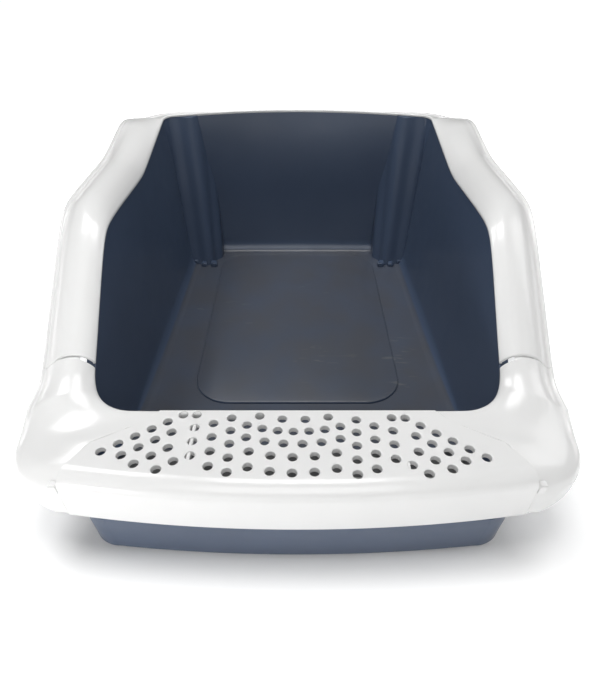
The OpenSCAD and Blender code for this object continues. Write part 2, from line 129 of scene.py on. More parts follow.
def soft(t, r):
    return (t + np.sqrt(t * t + r * r)) / 2


def ramp(y, span, r0, r1):
    return (soft(y - span[0], r0) - soft(y - span[1], r1)) / (span[1] - span[0])


def edge_z(y, side, rise, sag, start, turn, tail):
    steep = (side - LOW_Z) * ramp(y, rise, *RISE_ROUND)
    dip = sag * ramp(y, (start, turn), TAIL_ROUND[1], TAIL_ROUND[0])
    return LOW_Z + steep - dip + tail * ramp(y, (turn, TAIL_END), *TAIL_ROUND)


def inner_z(y):
    return edge_z(y, SIDE_Z, INNER_RISE, INNER_SAG, SAG_START[0], TAIL_START[0], TAIL_RISE)


def outer_z(y):
    edge = edge_z(y, SIDE_Z + OUTER_LIFT, OUTER_RISE, OUTER_SAG, SAG_START[1],
                  TAIL_START[1], TAIL_RISE - OUTER_LESS)
    return edge - REAR_DROP * ease((y - FALL_START) / FALL_RUN)


def front_y(x):
    return -HALF_LENGTH + x * x / (2 * BOW_R)


def on_arc(centre, rx, ry, degrees):
    a = math.radians(degrees)
    return np.array([centre[0] + rx * math.cos(a), centre[1] + ry * math.sin(a)])


def smooth_line(points, per):
    """A centripetal Catmull-Rom curve through points, along their first axis."""
    p = np.asarray(points, float)
    p = np.concatenate([[2 * p[0] - p[1]], p, [2 * p[-1] - p[-2]]])
    out = []
    for k in range(1, len(p) - 2):
        knots = [0.0]
        for a, b in zip(p[k - 1 : k + 2], p[k : k + 3]):
            step = np.linalg.norm(b - a, axis=-1, keepdims=True)
            knots.append(knots[-1] + np.maximum(step, 1e-6) ** 0.5)
        t0, t1, t2, t3 = knots
        for i in range(per):
            t = lerp(t1, t2, i / per)
            a1 = (t1 - t) / (t1 - t0) * p[k - 1] + (t - t0) / (t1 - t0) * p[k]
            a2 = (t2 - t) / (t2 - t1) * p[k] + (t - t1) / (t2 - t1) * p[k + 1]
            a3 = (t3 - t) / (t3 - t2) * p[k + 1] + (t - t2) / (t3 - t2) * p[k + 2]
            b1 = (t2 - t) / (t2 - t0) * a1 + (t - t0) / (t2 - t0) * a2
            b2 = (t3 - t) / (t3 - t1) * a2 + (t - t1) / (t3 - t1) * a3
            out.append((t2 - t) / (t2 - t1) * b1 + (t - t1) / (t2 - t1) * b2)
    out.append(p[-2])
    return np.array(out)


# Seam between the pedal and the collar: share of its length, bow to the collar
SEAM_ENDS = np.array([[PEDAL_HALF_W, OPEN_FRONT_Y], [SKIRT_HALF_W, front_y(SKIRT_HALF_W)]])
SEAM_BOW = ((0, 0.13, 0.34, 0.62, 0.925, 1), (0, -1.6, 3, 11, 3.8, 0))
SEAM_SOFT = 0.045
SEAM_GAP = 0.4


def seam_bow(share):
    """The bow with its bends rounded off."""
    u = np.asarray(share, float)
    near = [np.interp(u + d * SEAM_SOFT, *SEAM_BOW) for d in (-1, -0.5, 0, 0.5, 1)]
    return np.mean(near, axis=0)


def seam_point(share):
    d = SEAM_ENDS[1] - SEAM_ENDS[0]
    out = np.array([-d[1], d[0]]) / np.linalg.norm(d)
    return SEAM_ENDS[0] + d * share + out * seam_bow(share)


# ------------------------------------------------------------ mesh and objects
def finish_mesh(name, bm, material, sharp):
    bmesh.ops.recalc_face_normals(bm, faces=bm.faces)
    mesh = bpy.data.meshes.new(name)
    bm.to_mesh(mesh)
    bm.free()
    mesh.materials.append(material)
    mesh.shade_smooth()
    mesh.set_sharp_from_angle(angle=math.radians(sharp))
    obj = bpy.data.objects.new(name, mesh)
    bpy.context.scene.collection.objects.link(obj)
    return obj


def solid(name, verts, faces, material, sharp=38):
    """A closed mesh from points in millimetres."""
    bm = bmesh.new()
    made = [bm.verts.new([MM * c for c in v]) for v in verts]
    for f in faces:
        if len(set(f)) > 2:
            bm.faces.new([made[i] for i in f])
    bmesh.ops.remove_doubles(bm, verts=bm.verts, dist=1e-7)
    return finish_mesh(name, bm, material, sharp)


def bridge(rings):
    """Quads between neighbouring rings of n points each."""
    n = len(rings[0])
    faces = []
    for j in range(len(rings) - 1):
        for i in range(n):
            a, b = j * n + i, j * n + (i + 1) % n
            faces.append((a, b, b + n, a + n))
    return faces


def band(name, rings, material):
    """A loft of flat sections that are a skin out and the same skin back."""
    n = len(rings[0])
    faces = bridge(rings)
    for start in (0, (len(rings) - 1) * n):
        for i in range(n // 2 - 1):
            faces.append(tuple(start + k for k in (i, i + 1, n - 2 - i, n - 1 - i)))
    return solid(name, np.concatenate(rings), faces, material)


def tower(name, rings, material, sharp=38):
    """A loft with both ends closed by one face."""
    n = len(rings[0])
    last = (len(rings) - 1) * n
    faces = bridge(rings) + [tuple(range(n)), tuple(range(last, last + n))]
    return solid(name, np.concatenate(rings), faces, material, sharp)


def lathe(name, profile, place, material, steps=48, axis="Z"):
    """A profile of (radius, height) turned round a vertical axis."""
    rings = []
    for r, z in profile:
        ring = [on_arc((0, 0), r, r, 360 * i / steps) for i in range(steps)]
        rings.append([(p[0], p[1], z) for p in ring])
    rings = np.array(rings)
    if axis == "X":
        rings = rings[:, :, [2, 0, 1]]
    return tower(name, rings + np.array(place, float), material)


def box(name, low, high, material, bevel=0.8):
    """A bar with rounded edges between two corners."""
    bm = bmesh.new()
    bmesh.ops.create_cube(bm, size=1)
    low, high = np.array(low, float), np.array(high, float)
    for v in bm.verts:
        v.co = Vector(MM * (low + (high - low) * (np.array(v.co) + 0.5)))
    bmesh.ops.bevel(bm, geom=bm.edges, offset=MM * bevel, segments=3, affect="EDGES")
    return finish_mesh(name, bm, material, 50)


def boolean(obj, tool, operation):
    """Applies one exact boolean and drops the tool."""
    mod = obj.modifiers.new("cut", "BOOLEAN")
    mod.operation, mod.solver, mod.object = operation, "EXACT", tool
    dg = bpy.context.evaluated_depsgraph_get()
    mesh = bpy.data.meshes.new_from_object(obj.evaluated_get(dg))
    obj.modifiers.clear()
    obj.data = mesh
    bpy.data.objects.remove(tool)


def tidy_normals(obj, sharp=38):
    obj.data.shade_smooth()
    obj.data.set_sharp_from_angle(angle=math.radians(sharp))
    mod = obj.modifiers.new("normals", "WEIGHTED_NORMAL")
    mod.keep_sharp = True
    mod.weight = 80


def mirrored(rings):
    return [r * np.array([-1, 1, 1]) for r in rings]


# ------------------------------------------------------------------ materials
def nodes_of(name):
    mat = bpy.data.materials.new(name)
    mat.use_nodes = True
    tree = mat.node_tree
    shader = tree.nodes["Principled BSDF"]
    coord = tree.nodes.new("ShaderNodeTexCoord").outputs["Object"]
    return mat, tree, shader, coord


def noise(tree, coord, scale, detail=2.0, stretch=None, distortion=0.0):
    if stretch:
        mapping = tree.nodes.new("ShaderNodeMapping")
        mapping.inputs["Scale"].default_value = stretch
        tree.links.new(coord, mapping.inputs["Vector"])
        coord = mapping.outputs["Vector"]
    n = tree.nodes.new("ShaderNodeTexNoise")
    n.inputs["Scale"].default_value = scale
    n.inputs["Detail"].default_value = detail
    n.inputs["Distortion"].default_value = distortion
    tree.links.new(coord, n.inputs["Vector"])
    return n.outputs["Fac"]


def remap(tree, value, a, b, c, d):
    m = tree.nodes.new("ShaderNodeMapRange")
    for socket, v in zip(("From Min", "From Max", "To Min", "To Max"), (a, b, c, d)):
        m.inputs[socket].default_value = v
    tree.links.new(value, m.inputs["Value"])
    return m.outputs["Result"]


def math_node(tree, operation, a, b):
    m = tree.nodes.new("ShaderNodeMath")
    m.operation = operation
    for socket, v in zip(m.inputs, (a, b)):
        if isinstance(v, float):
            socket.default_value = v
        else:
            tree.links.new(v, socket)
    return m.outputs[0]


def mix(tree, factor, a, b):
    m = tree.nodes.new("ShaderNodeMix")
    m.data_type = "RGBA"
    tree.links.new(factor, m.inputs["Factor"])
    for name, v in zip(("A", "B"), (a, b)):
        socket = next(s for s in m.inputs if s.name == name and s.type == "RGBA")
        if isinstance(v, tuple):
            socket.default_value = (*v, 1)
        else:
            tree.links.new(v, socket)
    return next(s for s in m.outputs if s.type == "RGBA")


def bump(tree, height, strength, distance, after=None):
    b = tree.nodes.new("ShaderNodeBump")
    b.inputs["Strength"].default_value = strength
    b.inputs["Distance"].default_value = distance
    tree.links.new(height, b.inputs["Height"])
    if after:
        tree.links.new(after, b.inputs["Normal"])
    return b.outputs["Normal"]


def moulded(name, dark, light, rough, grain, grain_depth, coat):
    """Injection-moulded plastic: slow colour drift, uneven polish, fine grain."""
    mat, tree, shader, coord = nodes_of(name)
    drift = remap(tree, noise(tree, coord, 9, 3), 0.35, 0.65, 0, 1)
    colour = mix(tree, drift, dark, light)
    tree.links.new(colour, shader.inputs["Base Color"])
    polish = remap(tree, noise(tree, coord, 26, 4), 0.3, 0.7, rough - 0.035, rough + 0.045)
    tree.links.new(polish, shader.inputs["Roughness"])
    sink = bump(tree, noise(tree, coord, 14, 2), 0.12, 0.0003)
    fine = bump(tree, noise(tree, coord, grain, 2), 0.25, grain_depth, sink)
    tree.links.new(fine, shader.inputs["Normal"])
    shader.inputs["IOR"].default_value = 1.49
    shader.inputs["Coat Weight"].default_value = coat
    shader.inputs["Coat Roughness"].default_value = 0.12
    return mat, tree, shader, coord, colour


def hood_plastic():
    mat, _, shader, *_ = moulded(
        "hood_white", (0.80, 0.80, 0.795), (0.82, 0.82, 0.815), 0.22, 200, 0.00002, 0.25)
    shader.inputs["Subsurface Weight"].default_value = 0.06
    shader.inputs["Subsurface Radius"].default_value = (0.004, 0.004, 0.004)
    return mat


def tub_plastic():
    mat, tree, shader, coord, colour = moulded(
        "tub_slate", (0.060, 0.085, 0.138), (0.066, 0.093, 0.150), 0.31, 240, 0.00001, 0.12)
    # scuffs that claws leave on the floor, thin and broken, near the middle
    strokes = noise(tree, coord, 60, 6, (0.5, 2.6, 1.0), 1.2)
    lines = remap(tree, strokes, 0.60, 0.66, 0, 1)
    spots = remap(tree, noise(tree, coord, 12, 2), 0.56, 0.66, 0, 1)
    axes = tree.nodes.new("ShaderNodeSeparateXYZ")
    tree.links.new(coord, axes.inputs["Vector"])
    low = remap(tree, axes.outputs["Z"], 0.0075, 0.009, 1, 0)
    worn = math_node(tree, "MULTIPLY", math_node(tree, "MULTIPLY", lines, spots), low)
    scuffed = mix(tree, worn, colour, (0.16, 0.18, 0.21))
    # litter dust that falls through the pedal and stays on the ledge
    on_ledge = remap(tree, axes.outputs["Y"], -0.204, -0.202, 1, 0)
    raised = remap(tree, axes.outputs["Z"], 0.040, 0.048, 0, 1)
    facing = tree.nodes.new("ShaderNodeSeparateXYZ")
    geometry = tree.nodes.new("ShaderNodeNewGeometry")
    tree.links.new(geometry.outputs["Normal"], facing.inputs["Vector"])
    level = remap(tree, facing.outputs["Z"], 0.5, 0.8, 0, 1)
    settled = math_node(tree, "MULTIPLY", math_node(tree, "MULTIPLY", on_ledge, raised), level)
    # warm neutral grey painted on the low, upward-facing floor: partly litter dust, partly a
    # painted reflection of the light from above that the glossy floor throws back
    dust_sheen_spread = remap(tree, noise(tree, coord, 20, 5), 0.35, 0.65, 0.45, 0.7)
    floor_dust_and_sheen = math_node(tree, "MULTIPLY", math_node(tree, "MULTIPLY", dust_sheen_spread, low), level)
    dust_and_sheen_coloured = mix(tree, floor_dust_and_sheen, scuffed, (0.072, 0.069, 0.067))
    dusty = mix(tree, settled, dust_and_sheen_coloured, (0.24, 0.24, 0.24))
    tree.links.new(dusty, shader.inputs["Base Color"])
    return mat


def steel():
    mat, tree, shader, coord = nodes_of("pin_steel")
    drawn = noise(tree, coord, 300, 3, (0.1, 1, 1))
    colour = mix(tree, drawn, (0.50, 0.51, 0.53), (0.62, 0.63, 0.65))
    tree.links.new(colour, shader.inputs["Base Color"])
    tree.links.new(remap(tree, drawn, 0.3, 0.7, 0.22, 0.38), shader.inputs["Roughness"])
    tree.links.new(bump(tree, drawn, 0.3, 0.00005), shader.inputs["Normal"])
    shader.inputs["Metallic"].default_value = 1.0
    return mat


def rubber():
    mat, tree, shader, coord = nodes_of("foot_rubber")
    dust = noise(tree, coord, 180, 4)
    tree.links.new(mix(tree, dust, (0.030, 0.031, 0.034), (0.060, 0.060, 0.062)),
                   shader.inputs["Base Color"])
    tree.links.new(remap(tree, dust, 0.3, 0.7, 0.6, 0.8), shader.inputs["Roughness"])
    tree.links.new(bump(tree, noise(tree, coord, 1500, 2), 0.4, 0.00012), shader.inputs["Normal"])
    return mat


def sweep_floor():
    mat, tree, shader, coord = nodes_of("studio_floor")
    shade = noise(tree, coord, 1.5, 2)
    tree.links.new(mix(tree, shade, (0.90, 0.90, 0.90), (0.92, 0.92, 0.92)),
                   shader.inputs["Base Color"])
    shader.inputs["Roughness"].default_value = 0.6
    shader.inputs["Specular IOR Level"].default_value = 0.2
    axes = tree.nodes.new("ShaderNodeSeparateXYZ")
    tree.links.new(coord, axes.inputs["Vector"])
    # the floor glows though it is no lamp: its emission is weak right by the tub's footprint and
    # rises with distance, a painted contact shadow close in and painted light further out, which
    # also lights the tub's lower parts
    away = []
    for name, half in (("X", 0.165), ("Y", 0.265)):
        size = math_node(tree, "ABSOLUTE", axes.outputs[name], 0.0)
        over = math_node(tree, "MAXIMUM", math_node(tree, "SUBTRACT", size, half), 0.0)
        away.append(math_node(tree, "MULTIPLY", over, over))
    far = math_node(tree, "SQRT", math_node(tree, "ADD", *away), 0.0)
    near = remap(tree, far, 0.0, 0.035, 0.02, 0.26)
    floor_glow = math_node(tree, "ADD", near, remap(tree, far, 0.04, 0.40, 0.0, 0.7))
    tree.links.new(floor_glow, shader.inputs["Emission Strength"])
    shader.inputs["Emission Color"].default_value = (1, 1, 1, 1)
    return mat


WHITE = hood_plastic()
SLATE = tub_plastic()
STEEL = steel()
RUBBER = rubber()


# ---------------------------------------------------------- hood cross-section
# Share of the width, share of the crest height, drop below the edge line
RAIL = np.array([
    (0, 0, -WALL), (0, 0, -1), (0.03, 0.12, 0), (0.10, 0.45, 0), (0.22, 0.82, 0),
    (0.36, 1, 0), (0.50, 1, 0), (0.64, 0.80, 0), (0.76, 0.42, 0), (0.86, 0, 0.4),
    (0.92, 0, -1), (0.955, 0, 0), (0.985, 0, -0.8), (1, 0, -2.6), (1, 0, -9)])
# Share of the width, share of the height above the skirt's lower edge
FRONT = np.array([
    (0, 0.94), (0, 0.98), (0.02, 1), (0.13, 1), (0.34, 1),
    (0.48, 1), (0.62, 0.99), (0.71, 0.965), (0.80, 0.93), (0.87, 0.88),
    (0.925, 0.78), (0.97, 0.64), (0.99, 0.52), (1, 0.36), (1, 0)])
SECTION_PER = 5


class Station:
    """One section of the hood between the opening and the rim."""

    def __init__(self, p, q, zi, zo, crest, share=0.0, skirt=0.0, bow=0.0):
        self.p, self.q = np.array(p, float), np.array(q, float)
        self.width = np.linalg.norm(self.q - self.p)
        self.out = (self.q - self.p) / self.width
        rail = lerp(zi, zo, RAIL[:, 0]) + crest * RAIL[:, 1] + RAIL[:, 2]
        plain = skirt + (TREAD_Z - skirt) * FRONT[:, 1]
        across = self.width * lerp(RAIL[:, 0], FRONT[:, 0], share)
        self.skin = np.stack([across, lerp(rail, plain, share)], axis=1)
        self.bow = bow

    def inset(self, d):
        s = self.skin
        t = s[2:] - s[:-2]
        t = t / np.maximum(np.linalg.norm(t, axis=1, keepdims=True), 0.001)
        inner = s[1:-1] + np.stack([t[:, 1], -t[:, 0]], axis=1) * d
        return np.concatenate([[s[0] + [d, 0]], inner, [s[-1] - [d, 0]]])

    def ring(self, d0=0.0, d1=WALL, k0=0, k1=len(RAIL) - 1):
        a = smooth_line(self.inset(d0)[k0 : k1 + 1], SECTION_PER)
        b = smooth_line(self.inset(d1)[k0 : k1 + 1], SECTION_PER)
        loop = np.concatenate([a, b[::-1]])
        side = np.array([-self.out[1], self.out[0]])
        bow = self.bow * seam_bow(loop[:, 0] / self.width)
        flat = self.p + np.outer(loop[:, 0], self.out) + np.outer(bow, side)
        return np.column_stack([flat, loop[:, 1]])


SIDE_STEPS = [*range(-155, 0, 12), *range(10, 179, 24), 198]
SIDE_N = len(SIDE_STEPS)
REAR_ARC, REAR_BOW = 6, 8


def guard_station(u):
    """Stations count along one side, round the rear corner, to the middle."""
    turn = u - (SIDE_N - 1)
    if turn <= 0:
        y = float(np.interp(u, range(SIDE_N), SIDE_STEPS))
        p, q = (OPEN_HALF_W, y), (RIM_HALF_W, y + 12.5 * ease((y - 100) / 98))
    elif turn <= REAR_ARC:
        a = 90 * turn / REAR_ARC
        p = on_arc((OPEN_HALF_W - OPEN_REAR_R, OPEN_REAR_Y - OPEN_REAR_R),
                   OPEN_REAR_R, OPEN_REAR_R, a)
        q = on_arc((RIM_HALF_W - OUTER_REAR_R, HALF_LENGTH - OUTER_REAR_R),
                   OUTER_REAR_R, OUTER_REAR_R, a)
    else:
        t = (turn - REAR_ARC) / REAR_BOW
        p = (lerp(OPEN_HALF_W - OPEN_REAR_R, 0, t),
             OPEN_REAR_Y + OPEN_REAR_BOW * math.sin(math.pi / 2 * t))
        q = (lerp(RIM_HALF_W - OUTER_REAR_R, 0, t), HALF_LENGTH)
    crest = CREST_H * lerp(1, 0.05, ease((u - SIDE_N + 7) / 7))
    return Station(p, q, inner_z(p[1]), outer_z(q[1]), crest)


COLLAR_INNER = (GUARD_SEAM_Y - OPEN_FRONT_Y - OPEN_FRONT_R, OPEN_FRONT_R * math.pi / 2,
                OPEN_HALF_W - OPEN_FRONT_R - PEDAL_HALF_W)
STRAIGHT_RUN = GUARD_SEAM_Y - CORNER_C[1]
ARC_OUTER = 62.0
OUTER_RUN = STRAIGHT_RUN + ARC_OUTER + CORNER_C[0] - SKIRT_HALF_W


def along_inner(d):
    if d < COLLAR_INNER[1]:
        a = max(d, 0) / OPEN_FRONT_R * 180 / math.pi
        centre = (OPEN_HALF_W - OPEN_FRONT_R, OPEN_FRONT_Y + OPEN_FRONT_R)
        return on_arc(centre, OPEN_FRONT_R, OPEN_FRONT_R, -a)
    return np.array([OPEN_HALF_W - OPEN_FRONT_R - (d - COLLAR_INNER[1]), OPEN_FRONT_Y])


def along_outer(d):
    if d < STRAIGHT_RUN:
        return np.array([RIM_HALF_W, GUARD_SEAM_Y - d])
    if d < STRAIGHT_RUN + ARC_OUTER:
        return on_arc(CORNER_C, CORNER_RX, CORNER_RY, -90 * (d - STRAIGHT_RUN) / ARC_OUTER)
    x = CORNER_C[0] - (d - STRAIGHT_RUN - ARC_OUTER)
    return np.array([x, front_y(x)])


def collar_station(f):
    """Stations run from the guard's seam at 0 to the pedal's seam at 1."""
    d = f * OUTER_RUN
    inner_run = COLLAR_INNER[1] + COLLAR_INNER[2]
    p, q = along_inner(f * inner_run), along_outer(d)
    rim = outer_z(GUARD_SEAM_Y - min(d, STRAIGHT_RUN))
    rim -= RIM_DIP * clamp01((d - 38) / (OUTER_RUN - 48))
    return Station(p, q, inner_z(p[1]), rim, CREST_H * (1 - 0.6 * ease(f)),
                   ease((f - 0.12) / 0.88), rim, ease((f - 0.3) / 0.7))


# Ends of a shell are rounded: share of the fillet's length, depth under the skin
FILLET = 0.7
ROUND_STEPS = [(0.0, 1.0), (0.08, 0.6), (0.3, 0.25), (0.62, 0.06), (1.0, 0.0)]


# Tabs under the guard: where they stand, how far they reach into it, their size
TAB_IN, TAB_ROOT, TAB_T, TAB_L = 12.0, 6.6, 2.4, 22.0


def rear_guard():
    us = []
    for i in range(SIDE_N - 1):
        us += list(np.linspace(i, i + 1, max(2, int((SIDE_STEPS[i + 1] - SIDE_STEPS[i]) / 3)),
                               endpoint=False))
    us += list(np.linspace(SIDE_N - 1, SIDE_N - 1 + REAR_ARC, 36, endpoint=False))
    us += list(np.linspace(SIDE_N - 1 + REAR_ARC, SIDE_N - 1 + REAR_ARC + REAR_BOW, 30))
    step = FILLET / (SIDE_STEPS[1] - SIDE_STEPS[0])
    half = [guard_station(s * step).ring(FILLET * e, WALL - FILLET * e) for s, e in ROUND_STEPS]
    half += [guard_station(u).ring() for u in us if u > step * 1.2]
    rings = half + mirrored(half[:-1])[::-1]
    guard = band("guard_shell", rings, WHITE)
    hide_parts("rear_guard")
    pieces = [guard]
    for side in (-1, 1):
        for y in (-20, 50):
            x = side * (OPEN_HALF_W + TAB_IN + TAB_T / 2)
            share = TAB_IN / (RIM_HALF_W - OPEN_HALF_W)
            top = lerp(inner_z(y), outer_z(y), share) + TAB_ROOT
            tab = f"guard_tab_{'left' if side < 0 else 'right'}_{'front' if y < 0 else 'rear'}"
            low = (x - TAB_T / 2, y - TAB_L / 2, top - TAB_L)
            high = (x + TAB_T / 2, y + TAB_L / 2, top)
            pieces.append(box(tab, low, high, WHITE, 0.6))
    for p in pieces:
        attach(p, "guard")


EAR_X, EAR_W = 120.0, 6.0
# Reach of the hinge ears in front of, behind and below the axis
EAR_REACH = (4.4, 1.9, 3.5)
RAIL_Y = -256.5


def collar():
    pieces = []
    step = FILLET / OUTER_RUN
    half = [collar_station(s * step).ring(FILLET * e, WALL - FILLET * e) for s, e in ROUND_STEPS]
    half += [collar_station(f).ring() for f in np.linspace(step * 1.5, 1 - step * 1.5, 64)]
    half += [collar_station(1 - s * step).ring(FILLET * e, WALL - FILLET * e)
             for s, e in ROUND_STEPS[::-1]]
    tongue = []
    for y in (-164, -156.2, -154.6, -144.4, -144):
        under = WALL - 0.5 if y < GUARD_SEAM_Y else WALL + GAP
        s = Station((OPEN_HALF_W, y), (RIM_HALF_W, y), inner_z(y), outer_z(y), CREST_H)
        tongue.append(s.ring(under, WALL + GAP + 2, 4, 8))
    for name, flip in (("right", lambda r: r), ("left", mirrored)):
        sign = 1 if name == "right" else -1
        shell = band(f"collar_shell_{name}", flip(half), WHITE)
        if name == "right":
            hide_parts("front_collar")
        pieces += [shell, band(f"collar_tongue_{name}", flip(tongue), WHITE)]
        xs = sorted((sign * EAR_X, sign * (EAR_X + EAR_W)))
        low = (xs[0], HINGE_Y - EAR_REACH[0], HINGE_Z - EAR_REACH[2])
        high = (xs[1], HINGE_Y + EAR_REACH[1], TREAD_Z - 1.8)
        ear = box(f"collar_ear_{name}", low, high, WHITE, 0.4)
        pin_hole = lathe("pin_hole", [(PIN_R + 0.05, -12), (PIN_R + 0.05, 12)],
                         (sign * (EAR_X + 3), HINGE_Y, HINGE_Z), WHITE, 24, "X")
        boolean(ear, pin_hole, "DIFFERENCE")
        tidy_normals(ear)
        pieces.append(ear)
        gusset = sorted((sign * (SKIRT_HALF_W + 1.5), sign * (SKIRT_HALF_W + 8)))
        pieces.append(box(f"collar_gusset_{name}", (gusset[0], RAIL_Y - 2, FRONT_RIM_Z + 1),
                          (gusset[1], RAIL_Y + 6, FRONT_RIM_Z + 10), WHITE))
    pieces.append(box("collar_rail", (-SKIRT_HALF_W - 4, RAIL_Y, FRONT_RIM_Z + 1),
                      (SKIRT_HALF_W + 4, RAIL_Y + 7, FRONT_RIM_Z + 10), WHITE))
    for p in pieces:
        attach(p, "collar")


# ---------------------------------------------------------------------- pedal
BARREL_L, BARREL_R = 7.3, 3.0
BARREL_X = PEDAL_HALF_W - BARREL_L - 1.2
MIDDLE_ROWS = [(4, 17.8, -205), (7, 11.9, -217.1), (6, 14.1, -229.1), (5, 16, -241.4),
               (5, 15.8, -255.2)]
ROW_BOW = 0.0045
FILES = [(48.3, -204.3, 5, 12.8), (61.6, -210.3, 4, 13.4), (76, -201.5, 4, 13.3)]
FILE_SLANT = 0.6
FAN_START = np.array([86.4, -201.8])
FAN_ANGLE = math.radians(-34.9)
FAN_PITCH = 13
FAN_COUNTS = (4, 4, 3, 2, 1, 1)
PATTERN_C = np.array([0, -228.0])
PATTERN_SHIFT = np.array([-3.3, 0])
PATTERN_TURN = math.radians(-1.15)


def hole_places():
    middle, side = [], []
    for n, pitch, y in MIDDLE_ROWS:
        for i in range(n):
            x = (i - (n - 1) / 2) * pitch
            middle.append((x, y + ROW_BOW * x * x))
    for x, y, n, pitch in FILES:
        side += [(x - i * FILE_SLANT, y - i * pitch) for i in range(n)]
    for c, n in enumerate(FAN_COUNTS):
        foot = FAN_START + FAN_PITCH * c * np.array([math.cos(FAN_ANGLE), math.sin(FAN_ANGLE)])
        side += [tuple(foot + (8.6 * i - 3 * i * i, 1.45 * i * i - 19.3 * i)) for i in range(n)]
    turn = np.array([[math.cos(PATTERN_TURN), -math.sin(PATTERN_TURN)],
                     [math.sin(PATTERN_TURN), math.cos(PATTERN_TURN)]])
    every = np.array(middle + side + [(-x, y) for x, y in side])
    return (every - PATTERN_C) @ turn.T + PATTERN_C + PATTERN_SHIFT


SEAM_POINTS = np.array([seam_point(u) for u in np.linspace(0, 1, 80)])


def pedal_half(y):
    """Half of the pedal's width at y."""
    return np.interp(-y, -SEAM_POINTS[:, 1], SEAM_POINTS[:, 0]) - SEAM_GAP


def pedal_skin(inset):
    """Rows of points from the rear edge over the nose to the skirt's edge."""
    rows = []
    tread = [0.0, 0.012, 0.3, 0.6, 0.8, 0.9, 0.96, 1.0]
    columns = np.sin(np.linspace(-1, 1, 97) * math.pi / 2 * 0.985) / math.sin(math.pi / 2 * 0.985)
    profile = [("tread", t) for t in tread]
    profile += [("nose", a) for a in np.linspace(90, 0, 19)[1:]]
    profile += [("skirt", t) for t in (0.08, 0.2, 0.4, 0.6, 0.8, 0.93, 1.0)]
    r = NOSE_R - inset
    top = TREAD_Z - (TREAD_T if inset else 0)
    for kind, v in profile:
        row = []
        for c in columns:
            x = c * PEDAL_HALF_W
            y = OPEN_FRONT_Y
            for _ in range(6):
                if kind == "tread":
                    rho0 = math.hypot(x, BOW_C - OPEN_FRONT_Y + inset)
                    rho, z = lerp(rho0, BOW_R - NOSE_R, v), top
                elif kind == "nose":
                    a = math.radians(v)
                    rho = BOW_R - NOSE_R + r * math.cos(a)
                    z = TREAD_Z - NOSE_R + (top - TREAD_Z + NOSE_R) * math.sin(a)
                else:
                    rho, z = BOW_R - inset, lerp(TREAD_Z - NOSE_R, SKIRT_Z, v)
                y = BOW_C - math.sqrt(rho * rho - x * x)
                x = c * pedal_half(y)
            row.append((x, y, z))
        rows.append(row)
    return np.array(rows)


def shell_faces(rows, columns):
    """Quads of two facing grids, joined round their rim."""
    n = rows * columns
    faces = []
    for j in range(rows - 1):
        for i in range(columns - 1):
            a = j * columns + i
            faces.append((a, a + 1, a + 1 + columns, a + columns))
            faces.append(tuple(n + k for k in (a, a + columns, a + 1 + columns, a + 1)))
    rim = [i for i in range(columns)]
    rim += [j * columns + columns - 1 for j in range(1, rows)]
    rim += [(rows - 1) * columns + i for i in range(columns - 2, -1, -1)]
    rim += [j * columns for j in range(rows - 2, 0, -1)]
    for a, b in zip(rim, rim[1:] + rim[:1]):
        faces.append((a, b, b + n, a + n))
    return faces


def hole_cutters():
    """One mesh of all holes, each flared where it meets the tread."""
    steps = 28
    profile = [(HOLE_R, TREAD_Z - 18), (HOLE_R, TREAD_Z - 0.75), (HOLE_R + 0.12, TREAD_Z - 0.4),
               (HOLE_R + 0.38, TREAD_Z - 0.13), (HOLE_R + 0.75, TREAD_Z + 0.01),
               (HOLE_R + 0.75, TREAD_Z + 2)]
    verts, faces = [], []
    for x, y in hole_places():
        start = len(verts)
        for r, z in profile:
            verts += [(*on_arc((x, y), r, r, 360 * i / steps), z) for i in range(steps)]
        faces += [tuple(start + i for i in f) for f in bridge(np.zeros((len(profile), steps, 3)))]
        last = start + (len(profile) - 1) * steps
        faces += [tuple(range(start + steps - 1, start - 1, -1)), tuple(range(last, last + steps))]
    return solid("hole_cutters", verts, faces, WHITE)


def pedal():
    outer, inner = pedal_skin(0), pedal_skin(WALL)
    rows, columns = outer.shape[:2]
    verts = np.concatenate([outer.reshape(-1, 3), inner.reshape(-1, 3)])
    shell = solid("pedal_shell", verts, shell_faces(rows, columns), WHITE)
    rim = shell.modifiers.new("rim", "BEVEL")
    rim.width, rim.segments, rim.limit_method = MM * 0.6, 3, "ANGLE"
    rim.angle_limit = math.radians(60)
    boolean(shell, hole_cutters(), "DIFFERENCE")
    tidy_normals(shell, 40)
    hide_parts("pedal")
    pieces = [shell]
    pieces.append(box("pedal_lip", (-PEDAL_HALF_W, OPEN_FRONT_Y - WALL, TREAD_Z - 9),
                      (PEDAL_HALF_W, OPEN_FRONT_Y - 0.2, TREAD_Z - 1), WHITE, 0.7))
    for name, sign in (("left", -1), ("right", 1)):
        x = sign * 79
        pieces.append(box(f"pedal_rib_{name}", (x - 1.2, -262, TREAD_Z - 10.5),
                          (x + 1.2, -207, TREAD_Z - 1), WHITE, 0.5))
        ends = [(BARREL_R - 0.4, 0), (BARREL_R, 0.4)]
        turned = ends + [(r, BARREL_L - d) for r, d in ends[::-1]]
        barrel = lathe(f"pedal_barrel_{name}", [(r, d - BARREL_L / 2) for r, d in turned],
                       (sign * (BARREL_X + BARREL_L / 2), HINGE_Y, HINGE_Z), WHITE, 40, "X")
        bore = lathe("bore", [(PIN_R + 0.06, -12), (PIN_R + 0.06, 12)],
                     (sign * (BARREL_X + 11.5), HINGE_Y, HINGE_Z), WHITE, 24, "X")
        boolean(barrel, bore, "DIFFERENCE")
        tidy_normals(barrel)
        pieces.append(barrel)
    for p in pieces:
        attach(p, "pedal")


# ------------------------------------------------------------------------ tub
RIM_GAP = 0.4
FLANGE_W = 8.0
TROUGH_C = np.array([113.5, -204.0])
TROUGH_R = 55.0
SIDE_YS = [-190, -176, *SIDE_STEPS]
U_FRONT, U_CORNER, U_SIDE, U_REAR, U_END = 4, 12, 36, 40, 46


